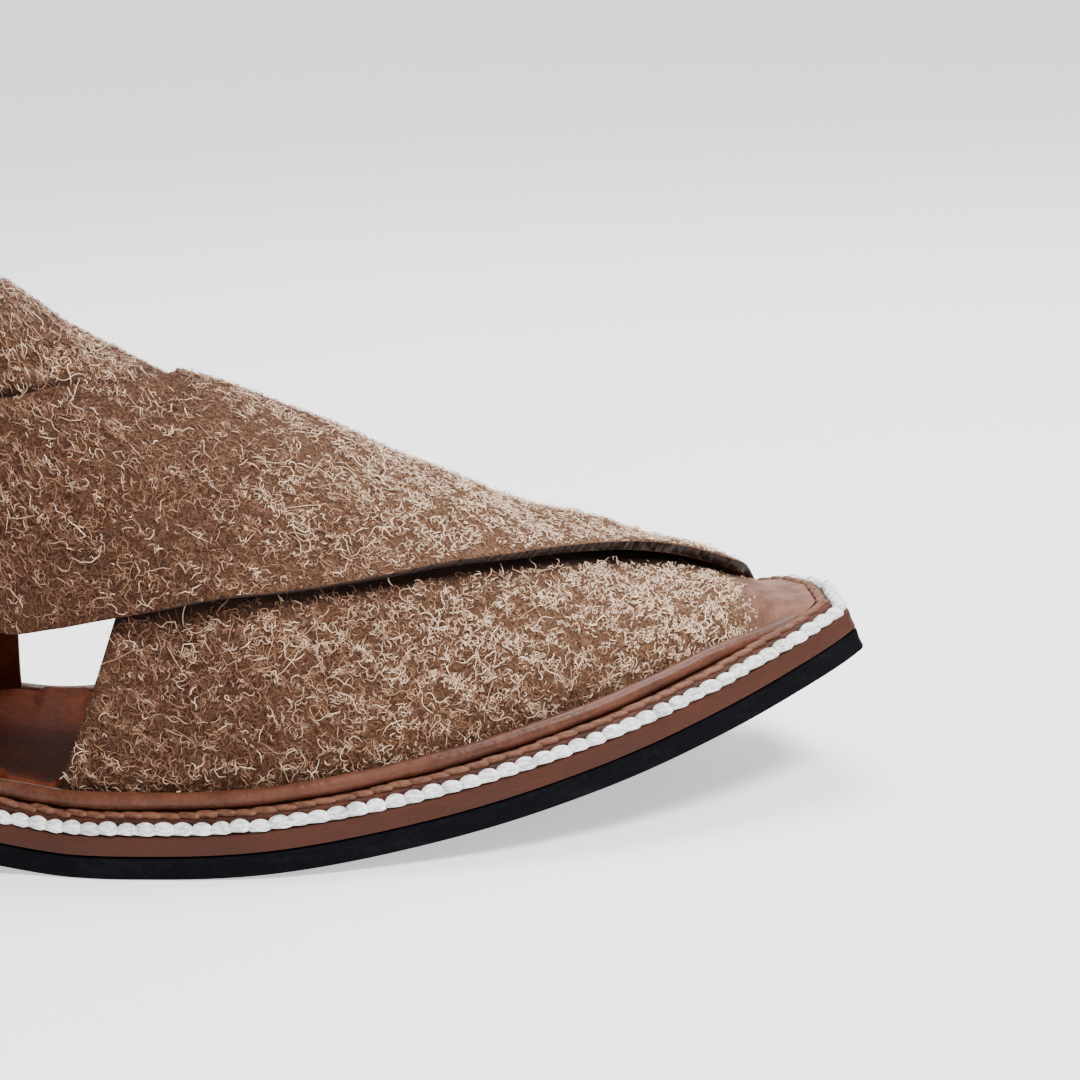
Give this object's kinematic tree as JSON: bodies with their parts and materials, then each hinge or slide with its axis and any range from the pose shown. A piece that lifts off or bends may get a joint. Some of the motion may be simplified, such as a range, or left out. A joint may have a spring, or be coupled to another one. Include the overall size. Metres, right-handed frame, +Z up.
{
  "type": "peshawari chappal",
  "caption": "Closed-toe leather sandal with crossing suede straps, stitched welt, curled-up sole, low heel and buckled ankle strap.",
  "frame": {"origin": "centre of the shoe's plan at the floor", "axes": "+X from heel to toe, +Y to the inner side of the right foot, +Z up"},
  "size_m": [0.2898, 0.0987, 0.1123],
  "materials": {
    "outsole_rubber": "matt black sheet rubber",
    "sole_leather": "brown leather with stained, rubbed edges",
    "footbed_leather": "smooth red-brown leather",
    "welt_leather": "dark brown smooth leather",
    "white_thread": "thick white stitching thread",
    "rough_suede": "rough long-haired suede, tan over dark brown",
    "buckle_brass": "plain brass"
  },
  "bodies": {
    "root": {"outsole": "outsole_rubber", "midsole": "sole_leather", "heel_lift_lower": "sole_leather", "heel_lift_upper": "sole_leather", "heel_top_piece": "outsole_rubber", "insole": "footbed_leather", "welt": "welt_leather", "welt_cord": "white_thread", "rolled_rand": "welt_leather", "upper": "rough_suede", "heel_counter": "rough_suede", "ankle_strap": "rough_suede", "strap_keeper": "welt_leather", "buckle_frame": "buckle_brass", "buckle_prong": "buckle_brass"}
  },
  "joints": []
}
